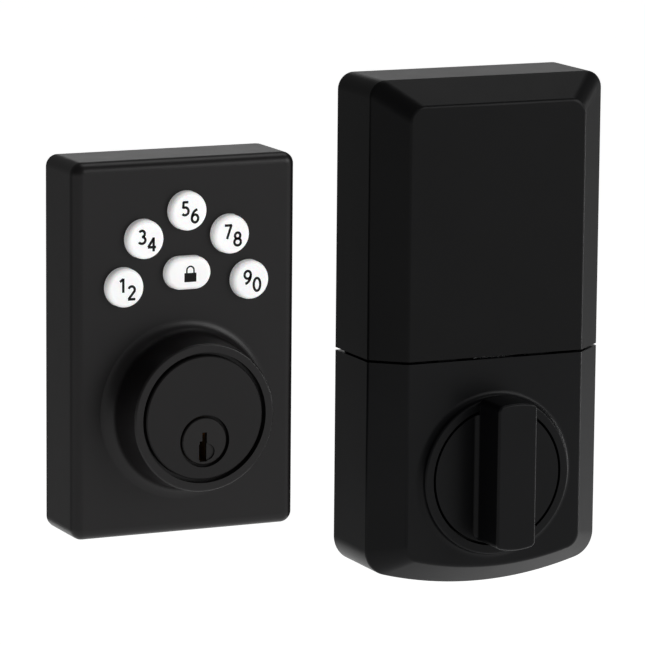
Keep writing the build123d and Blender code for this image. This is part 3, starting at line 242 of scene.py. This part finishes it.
# Paint ends this far behind the cylinder's and the plug's faces
cylinder_paint_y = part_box("cylinder_body")[0].y + 3.2 * MM
plug_paint_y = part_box("key_plug")[0].y + 1.4 * MM
cell_low, cell_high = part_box("battery_1")
BRASS = (0.62, 0.42, 0.16)
ZINC = (0.50, 0.50, 0.49)
FINISHES = {
    "exterior_black": satin_black("exterior_black", (0.0040, 0.0034, 0.0037), 0.36, 0.25),
    "cylinder_black": painted_front("cylinder_black", (0.0036, 0.0031, 0.0033), 0.22, cylinder_paint_y, ZINC),
    "plug_black": painted_front("plug_black", (0.0040, 0.0033, 0.0032), 0.25, plug_paint_y, BRASS),
    "interior_black": satin_black("interior_black", (0.0024, 0.0025, 0.0029), 0.36, 0.11),
    "cover_black": satin_black("cover_black", (0.0024, 0.0024, 0.0026), 0.37, 0.10),
    # the buttons' last figure, 0.16, is a painted glow: even white emission that paints extra light on them
    "button_white": moulded("button_white", (0.93, 0.93, 0.93), 0.36, 0.45, 0.004 * MM, 0.2, 0.16),
    "zinc_steel": brushed_metal("zinc_steel", (0.55, 0.56, 0.56), 0.34, (0.06, 1.0, 1.0)),
    "screw_steel": brushed_metal("screw_steel", (0.50, 0.51, 0.52), 0.28, (1.0, 0.2, 1.0)),
    "brass": brushed_metal("brass", BRASS, 0.26, (1.0, 0.2, 1.0), 0.25),
    "spring_steel": brushed_metal("spring_steel", (0.60, 0.60, 0.61), 0.22, (1.0, 1.0, 0.3)),
    "gasket_foam": moulded("gasket_foam", (0.018, 0.018, 0.018), 0.85, 0.2, 0.08 * MM),
    "silicone": moulded("silicone", (0.55, 0.57, 0.60), 0.55, 0.35, 0.02 * MM, 0.3),
    "board_green": solder_mask("board_green"),
    "chip_black": moulded("chip_black", (0.022, 0.022, 0.023), 0.6),
    "led_white": moulded("led_white", (0.85, 0.82, 0.60), 0.25),
    "connector_white": moulded("connector_white", (0.72, 0.70, 0.62), 0.45),
    "chassis_plastic": moulded("chassis_plastic", (0.035, 0.035, 0.037), 0.52, 0.4, 0.03 * MM),
    "gear_acetal": moulded("gear_acetal", (0.72, 0.71, 0.64), 0.4, 0.45, 0.006 * MM, 0.1),
    "hub_zinc": brushed_metal("hub_zinc", (0.45, 0.46, 0.47), 0.42, (1.0, 0.4, 1.0)),
    "motor_can": brushed_metal("motor_can", (0.52, 0.53, 0.54), 0.25, (1.0, 0.1, 1.0)),
    "pinion_brass": brushed_metal("pinion_brass", (0.64, 0.45, 0.18), 0.3, (1.0, 0.2, 1.0), 0.2),
    "cell_wrap": cell_sleeve("cell_wrap", cell_low.z, cell_high.z),
    "contact_nickel": brushed_metal("contact_nickel", (0.66, 0.63, 0.57), 0.2, (0.1, 1.0, 1.0)),
}
LEGEND_INK = moulded("legend_ink", (0.004, 0.004, 0.004), 0.6, 0.15)
for part in frame["record"]["subparts"]:
    node = frame["nodes"][part["node"]]
    node.data.materials.clear()
    node.data.materials.append(FINISHES[part["material_slot"]])


# ------------------------------------------------------------------ shapes that follow a path
def path_follower(name, profile_kind, **profile_inputs):
    """Node tree that sweeps a profile along every path of the mesh it is put on."""
    tree = bpy.data.node_groups.new(name, "GeometryNodeTree")
    tree.interface.new_socket("Paths", in_out="INPUT", socket_type="NodeSocketGeometry")
    for label in profile_inputs:
        tree.interface.new_socket(label, in_out="INPUT", socket_type="NodeSocketFloat")
    tree.interface.new_socket("Material", in_out="INPUT", socket_type="NodeSocketMaterial")
    tree.interface.new_socket("Shape", in_out="OUTPUT", socket_type="NodeSocketGeometry")
    graph = Graph(tree)
    entry = tree.nodes.new("NodeGroupInput")
    given = {socket.name: Reading(graph, socket) for socket in entry.outputs if socket.name}
    curve = graph.node("GeometryNodeMeshToCurve", inputs={"Mesh": given["Paths"]})
    mode = "Z_UP" if profile_kind.endswith("Quadrilateral") else "MINIMUM_TWIST"
    upright = graph.node("GeometryNodeSetCurveNormal", {"mode": mode}, {"Curve": curve})
    profile = graph.node(profile_kind, inputs={key: given[key] for key in profile_inputs})
    swept = graph.node("GeometryNodeCurveToMesh",
                       inputs={"Curve": upright, "Profile Curve": profile, "Fill Caps": True})
    real = graph.node("GeometryNodeRealizeInstances", inputs={"Geometry": swept})
    done = graph.node("GeometryNodeSetMaterial", inputs={"Geometry": real, "Material": given["Material"]})
    leave = tree.nodes.new("NodeGroupOutput")
    tree.links.new(done.socket, leave.inputs["Shape"])
    return tree


RIBBON = path_follower("ribbon", "GeometryNodeCurvePrimitiveQuadrilateral", Width=0.0004, Height=0.0001)
WIRE = path_follower("wire", "GeometryNodeCurvePrimitiveCircle", Radius=0.0002)


def swept_mesh(name, tree, paths, material, **sizes):
    """Plain mesh of a tree's profile swept along paths, each a list of points in metres."""
    guide = bpy.data.meshes.new(name + "_paths")
    points, edges = [], []
    for path in paths:
        edges += [(len(points) + step, len(points) + step + 1) for step in range(len(path) - 1)]
        points += path
    guide.from_pydata(points, edges, [])
    holder = bpy.data.objects.new(name + "_paths", guide)
    bpy.context.scene.collection.objects.link(holder)
    grown = holder.modifiers.new("sweep", "NODES")
    grown.node_group = tree
    sockets = {item.name: item.identifier for item in tree.interface.items_tree if item.in_out == "INPUT"}
    for label, value in sizes.items():
        grown[sockets[label]] = value
    grown[sockets["Material"]] = material
    shape = bpy.data.meshes.new_from_object(holder.evaluated_get(bpy.context.evaluated_depsgraph_get()))
    bpy.data.objects.remove(holder)
    return shape


def placed(name, mesh, body, replaces=(), smooth_angle=40):
    """Puts a finished mesh on a body of the lock, with its normals outwards."""
    shell = bmesh.new()
    shell.from_mesh(mesh)
    bmesh.ops.remove_doubles(shell, verts=shell.verts, dist=1e-7)
    bmesh.ops.recalc_face_normals(shell, faces=shell.faces)
    shell.to_mesh(mesh)
    shell.free()
    mesh.shade_smooth()
    mesh.set_sharp_from_angle(angle=math.radians(smooth_angle))
    piece = bpy.data.objects.new(name, mesh)
    bpy.context.scene.collection.objects.link(piece)
    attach(piece, body)
    if replaces:
        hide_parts(*replaces)
    return piece


# ------------------------------------------------------------------ button legends
def bow(x, y, across, up, start, stop):
    """Points on an oval stroke, from one angle to another in degrees."""
    steps = max(4, int(abs(stop - start) / 12))
    angles = [math.radians(start + (stop - start) * step / steps) for step in range(steps + 1)]
    return [(x + across * math.cos(angle), y + up * math.sin(angle)) for angle in angles]


SIX = [bow(0.28, 0.3, 0.25, 0.3, 0, 360), bow(0.53, 0.3, 0.5, 0.7, 180, 97)]
DIGITS = {
    "0": [bow(0.28, 0.5, 0.26, 0.5, 0, 360)],
    "1": [[(0.10, 0.80), (0.36, 1.0)], [(0.36, 1.05), (0.36, -0.05)]],
    "2": [bow(0.27, 0.73, 0.24, 0.27, 160, -28) + [(0.03, 0.02)], [(-0.02, 0.0), (0.56, 0.0)]],
    "3": [bow(0.25, 0.76, 0.22, 0.24, 150, -90), bow(0.25, 0.26, 0.27, 0.26, 90, -150)],
    "4": [[(0.42, -0.05), (0.42, 1.03)], [(0.44, 1.0), (0.0, 0.3)], [(-0.03, 0.28), (0.6, 0.28)]],
    "5": [[(0.5, 1.0), (0.09, 1.0)], [(0.12, 1.04), (0.09, 0.52)], bow(0.24, 0.3, 0.27, 0.3, 124, -140)],
    "6": SIX,
    "7": [[(0.0, 1.0), (0.57, 1.0)], [(0.53, 1.03), (0.18, -0.05)]],
    "8": [bow(0.28, 0.76, 0.21, 0.24, 0, 360), bow(0.28, 0.27, 0.26, 0.27, 0, 360)],
    "9": [[(0.56 - x, 1 - y) for x, y in stroke] for stroke in SIX],
}
DIGIT_MIDDLE = (0.28, 0.5)   # of the strokes above, which are drawn about one unit tall
DIGIT_WIDE, DIGIT_TALL, STROKE = 3.9 * MM, 3.7 * MM, 0.74 * MM
INK_THICK = 0.04 * MM
PAIR_PLACES = ((-1.2 * MM, 0.85 * MM), (1.7 * MM, -1.35 * MM))   # digit middles from the button's middle
SHACKLE_R, SHACKLE_LIFT, SHACKLE_STROKE = 1.1 * MM, 0.8 * MM, 0.46 * MM
PADLOCK_WIDE, PADLOCK_TALL = 3.7 * MM, 2.6 * MM
PADLOCK_PLACE = (0.35 * MM, -1.15 * MM)
SHACKLE_SINK = 0.2 * MM      # into the padlock's case


def digit_strokes(digit, middle):
    return [[(middle[0] + (x - DIGIT_MIDDLE[0]) * DIGIT_WIDE,
              middle[1] + (y - DIGIT_MIDDLE[1]) * DIGIT_TALL, 0.0) for x, y in stroke]
            for stroke in DIGITS[digit]]


def legend(button, strokes, width):
    """Ribbons drawn flat, then stood on the front of a button."""
    low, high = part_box(button)
    flat = swept_mesh("legend", RIBBON, strokes, LEGEND_INK, Width=width, Height=INK_THICK)
    stand = Matrix.Translation(((low.x + high.x) / 2, low.y, (low.z + high.z) / 2)) @ Matrix.Rotation(
        math.pi / 2, 4, "X")
    flat.transform(stand)
    return flat


def button_legends():
    for pair in ("12", "34", "56", "78", "90"):
        strokes = [stroke for digit, middle in zip(pair, PAIR_PLACES)
                   for stroke in digit_strokes(digit, middle)]
        placed(f"legend_{pair}", legend(f"button_{pair}", strokes, STROKE), f"button_{pair}")
    across, up = PADLOCK_PLACE
    shackle_base = up + PADLOCK_TALL / 2
    loop = [(across - SHACKLE_R, shackle_base - SHACKLE_SINK, 0.0)]
    loop += [(x, y, 0.0) for x, y in bow(across, shackle_base + SHACKLE_LIFT, SHACKLE_R, SHACKLE_R, 180, 0)]
    loop += [(across + SHACKLE_R, shackle_base - SHACKLE_SINK, 0.0)]
    placed("legend_shackle", legend("button_lock", [loop], SHACKLE_STROKE), "button_lock")
    case = [[(across - PADLOCK_WIDE / 2, up, 0.0), (across + PADLOCK_WIDE / 2, up, 0.0)]]
    placed("legend_padlock", legend("button_lock", case, PADLOCK_TALL), "button_lock")


# ------------------------------------------------------------------ coils and cells
STEPS_PER_TURN = 20


def helix(centre, low_z, high_z, low_r, high_r, turns, dead=0.75):
    """Points of a coil about an upright axis, with close end turns as on a ground spring."""
    steps = int(turns * STEPS_PER_TURN)
    points = []
    for step in range(steps + 1):
        share = step / steps
        rise = min(max((share * turns - dead) / (turns - 2 * dead), 0.0), 1.0)
        radius = low_r + (high_r - low_r) * share
        angle = FULL_TURN * turns * share
        points.append((centre[0] + radius * math.cos(angle), centre[1] + radius * math.sin(angle),
                       low_z + (high_z - low_z) * rise))
    return points


PIN_COUNT, PIN_COIL_TURNS = 5, 8
PIN_WIRE_R = 0.16 * MM
CONTACT_WIRE_R = 0.28 * MM


def pin_coils():
    low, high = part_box("pin_springs")
    reach = (high.x - low.x) / 2
    pitch = (high.y - low.y - 2 * reach) / (PIN_COUNT - 1)
    middle_x, coil_r = (low.x + high.x) / 2, reach - PIN_WIRE_R
    coils = [helix((middle_x, low.y + reach + pitch * place), low.z + PIN_WIRE_R, high.z - PIN_WIRE_R,
                   coil_r, coil_r, PIN_COIL_TURNS) for place in range(PIN_COUNT)]
    mesh = swept_mesh("pin_coils", WIRE, coils, FINISHES["spring_steel"], Radius=PIN_WIRE_R)
    placed("pin_coils", mesh, "lock_housings", ("pin_springs",), 60)


def turned(name, profile, centre, sides=64):
    """Mesh turned about an upright axis from (radius, height) points, closed at both ends."""
    shell = bmesh.new()
    rings = []
    for radius, height in profile:
        ring = [shell.verts.new((centre[0] + radius * math.cos(FULL_TURN * side / sides),
                                 centre[1] + radius * math.sin(FULL_TURN * side / sides), height))
                for side in range(sides)]
        rings.append(ring)
    for ring, above in zip(rings, rings[1:]):
        for side in range(sides):
            after = (side + 1) % sides
            shell.faces.new((ring[side], ring[after], above[after], above[side]))
    shell.faces.new(rings[0][::-1])
    shell.faces.new(rings[-1])
    mesh = bpy.data.meshes.new(name)
    shell.to_mesh(mesh)
    shell.free()
    return mesh


CELL_COUNT = 4
CELL_NUB, CELL_NUB_R = 1.4 * MM, 2.75 * MM
CELL_CRIMP, CELL_CRIMP_MID = 0.5 * MM, 0.15 * MM
CELL_SINK = 0.2 * MM         # of the bare disc, under the sleeve's edge at the nub's end
CELL_DISC = 0.82             # the bare disc's share of the cell's radius


def battery_cells():
    """Each cell: sleeve with crimped ends that lap over bare metal discs, a nub at one end."""
    for place in range(CELL_COUNT):
        node = f"battery_{place + 1}"
        low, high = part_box(node)
        centre = ((low.x + high.x) / 2, (low.y + high.y) / 2)
        radius = (high.x - low.x) / 2
        tall = high.z - low.z
        can_top = tall - CELL_NUB
        outline = [(radius * 0.55, 0.05 * MM), (radius * 0.8, 0.05 * MM), (radius * CELL_DISC, 0.0),
                   (radius - CELL_CRIMP, 0.0), (radius - CELL_CRIMP_MID, CELL_CRIMP_MID),
                   (radius, CELL_CRIMP), (radius, can_top - CELL_CRIMP),
                   (radius - CELL_CRIMP_MID, can_top - CELL_CRIMP_MID),
                   (radius - CELL_CRIMP, can_top), (radius * 0.84, can_top),
                   (radius * CELL_DISC, can_top - CELL_SINK), (radius * 0.5, can_top - CELL_SINK),
                   (CELL_NUB_R, can_top), (CELL_NUB_R, tall - 0.35 * MM),
                   (CELL_NUB_R - 0.1 * MM, tall - 0.1 * MM), (CELL_NUB_R - 0.35 * MM, tall)]
        nub_up = place % 2 == 0
        profile = [(r, low.z + h if nub_up else high.z - h) for r, h in outline]
        mesh = turned(node + "_cell", profile, centre)
        mesh.materials.append(FINISHES["cell_wrap"])
        mesh.materials.append(FINISHES["contact_nickel"])
        for face in mesh.polygons:
            reach = max(math.hypot(mesh.vertices[v].co.x - centre[0], mesh.vertices[v].co.y - centre[1])
                        for v in face.vertices)
            face.material_index = int(reach < radius * (CELL_DISC + 0.01))
        placed(node + "_cell", mesh, "lock_housings", (node,), 35)


PLATE_HALF = Vector((4.5, 5.0, 0.2))
CONTACT_WIDE_R, CONTACT_NARROW_R, CONTACT_TURNS = 3.6 * MM, 2.3 * MM, 3.2


def contact_coils():
    """Conical spring on a thin plate at the flat end of each cell."""
    plates = bmesh.new()
    coils = []
    low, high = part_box("battery_springs")
    plate_half = PLATE_HALF * MM
    for place in range(CELL_COUNT):
        cell_lo, cell_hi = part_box(f"battery_{place + 1}")
        centre = ((cell_lo.x + cell_hi.x) / 2, (cell_lo.y + cell_hi.y) / 2)
        at_bottom = place % 2 == 0
        wall = low.z if at_bottom else high.z
        inward = 1 if at_bottom else -1
        cell_end = cell_lo.z if at_bottom else cell_hi.z
        size = Matrix.Diagonal((*(2 * plate_half), 1.0))
        spot = Matrix.Translation((centre[0], centre[1], wall + inward * plate_half.z))
        bmesh.ops.create_cube(plates, size=1.0, matrix=spot @ size)
        coils.append(helix(centre, wall + inward * (2 * plate_half.z + CONTACT_WIRE_R),
                           cell_end - inward * CONTACT_WIRE_R, CONTACT_WIDE_R, CONTACT_NARROW_R,
                           CONTACT_TURNS))
    bmesh.ops.bevel(plates, geom=plates.edges, offset=0.12 * MM, segments=2, affect="EDGES")
    plate_mesh = bpy.data.meshes.new("contact_backs")
    plates.to_mesh(plate_mesh)
    plates.free()
    plate_mesh.materials.append(FINISHES["contact_nickel"])
    placed("contact_backs", plate_mesh, "lock_housings")
    mesh = swept_mesh("contact_coils", WIRE, coils, FINISHES["contact_nickel"], Radius=CONTACT_WIRE_R)
    placed("contact_coils", mesh, "lock_housings", ("battery_springs",), 60)


button_legends()
pin_coils()
battery_cells()
contact_coils()


# ------------------------------------------------------------------ studio
FLOOR_REACH = 12.0
FLOOR_LOW = -0.32
FLOOR_LIT_BACK = 0.35
VIEW_YAW, VIEW_PITCH, VIEW_ROLL = math.radians(24.585), math.radians(10.154), math.radians(0.498)
RUNNER_HALF, RUNNER_ASIDE = 0.55, 0.037
AHEAD_GLOW, RUNNER_GLOW, DIM_GLOW = 0.78, 0.81, 0.11
SKY_GLOW = 0.17
LENS_MM = 259.37
EYE_MM = (-600.9, -1222.4, 283.7)


def floor():
    """Paper floor, lit in front of the lock and along a runner behind it; dim elsewhere behind it."""
    mesh = bpy.data.meshes.new("floor")
    corners = [(x * FLOOR_REACH, y * FLOOR_REACH, FLOOR_LOW)
               for x, y in ((-1, -1), (1, -1), (1, 1), (-1, 1))]
    mesh.from_pydata(corners, [], [(0, 1, 2, 3)])
    sheet = bpy.data.objects.new("floor", mesh)
    bpy.context.scene.collection.objects.link(sheet)
    paper = Finish("floor_paper", Roughness=1.0, Specular_IOR_Level=0.0, Emission_Strength=1.0)
    ahead = paper.ramp(paper.axis("Y"), [(FLOOR_LIT_BACK, AHEAD_GLOW), (FLOOR_LIT_BACK + 0.3, 0.0)])
    aside = paper.axis("X") * math.cos(VIEW_YAW) - paper.axis("Y") * math.sin(VIEW_YAW) + RUNNER_ASIDE
    runner = (aside.math("ABSOLUTE", aside) < RUNNER_HALF) * (paper.axis("Y") > FLOOR_LIT_BACK)
    glow = paper.node("ShaderNodeRGBToBW", inputs={"Color": ahead}) + runner * RUNNER_GLOW + DIM_GLOW
    mesh.materials.append(paper.wear(Base_Color=paper.ramp(paper.noise(2.0), [(0.0, 0.46), (1.0, 0.50)]),
                                     Emission_Color=paper.blend(glow, BLACK, WHITE)))


def softbox(name, place, aim, width, height, power):
    lamp = bpy.data.lights.new(name, "AREA")
    lamp.shape = "RECTANGLE"
    lamp.size, lamp.size_y, lamp.energy = width, height, power
    holder = bpy.data.objects.new(name, lamp)
    holder.location = place
    holder.rotation_euler = (Vector(aim) - Vector(place)).to_track_quat("-Z", "Y").to_euler()
    bpy.context.scene.collection.objects.link(holder)


def studio():
    floor()
    world = bpy.data.worlds.new("studio")
    world.use_nodes = True
    sky = world.node_tree.nodes["Background"].inputs
    sky["Color"].default_value = (*WHITE, 1.0)
    sky["Strength"].default_value = SKY_GLOW
    bpy.context.scene.world = world
    middle = (cad_low + cad_high) / 2
    softbox("key_light", middle + Vector((0.9, -1.05, 0.5)), middle, 0.9, 0.7, 10.0)
    softbox("rear_light", middle + Vector((0.90, 1.97, 0.5)), middle, 0.6, 0.4, 0.75)
    softbox("top_light", middle + Vector((0.45, 0.1, 1.1)), middle, 0.6, 0.6, 2.4)
    softbox("edge_light", middle + Vector((1.2, -0.12, -0.15)), middle, 0.14, 0.8, 4.0)
    bpy.context.scene.view_settings.view_transform = "Standard"


def camera():
    lens = bpy.data.cameras.new("camera")
    lens.sensor_width = 36.0
    lens.lens = LENS_MM
    lens.clip_end = 60.0
    holder = bpy.data.objects.new("camera", lens)
    aim = Euler((math.pi / 2 - VIEW_PITCH, 0, -VIEW_YAW)).to_matrix()
    turn = aim @ Euler((0, 0, VIEW_ROLL)).to_matrix()
    holder.matrix_world = Matrix.Translation(Vector(EYE_MM) * MM) @ turn.to_4x4()
    bpy.context.scene.collection.objects.link(holder)
    bpy.context.scene.camera = holder


studio()
camera()
